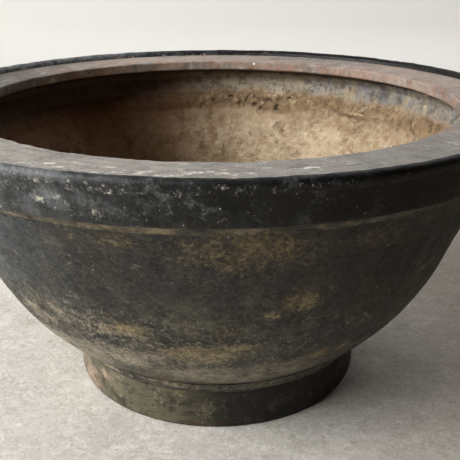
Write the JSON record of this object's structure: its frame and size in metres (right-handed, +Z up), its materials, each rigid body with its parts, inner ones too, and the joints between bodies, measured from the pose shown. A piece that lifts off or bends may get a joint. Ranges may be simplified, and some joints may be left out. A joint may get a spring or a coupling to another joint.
{
  "type": "footed earthenware crock",
  "caption": "Wide open black-smoked earthenware crock: round bowl on a foot ring, upright collar, flat rim flange with a raised outer lip.",
  "frame": {"origin": "centre of the circle that the foot ring stands on, on the resting plane", "axes": "+Z up along the vessel's axis, out of the mouth; +X and +Y are free because the vessel is round"},
  "size_m": [0.4499, 0.45, 0.222],
  "materials": {
    "smoked_bowl": "carbon-smoked earthenware, matt to satin, bare tan clay inside",
    "smoked_foot": "smoked earthenware worn to tan in places, matt",
    "smoked_collar": "blue-black burnished smoked earthenware, satin",
    "dusty_rim": "worn grey smoked earthenware with fine turning scratches, matt",
    "bare_coil": "unsmoked ochre clay, rough, matt"
  },
  "bodies": {
    "root": {"foot_ring": "smoked_foot", "foot_outer_coil": "bare_coil", "foot_inner_coil": "bare_coil", "bowl_shell": "smoked_bowl", "wall_joint_coil": "bare_coil", "rim_wall": "smoked_bowl", "rim_flange": "dusty_rim", "flange_inner_coil": "bare_coil", "collar_band": "smoked_collar", "collar_coil": "bare_coil", "rim_lip": "smoked_collar"}
  },
  "joints": []
}
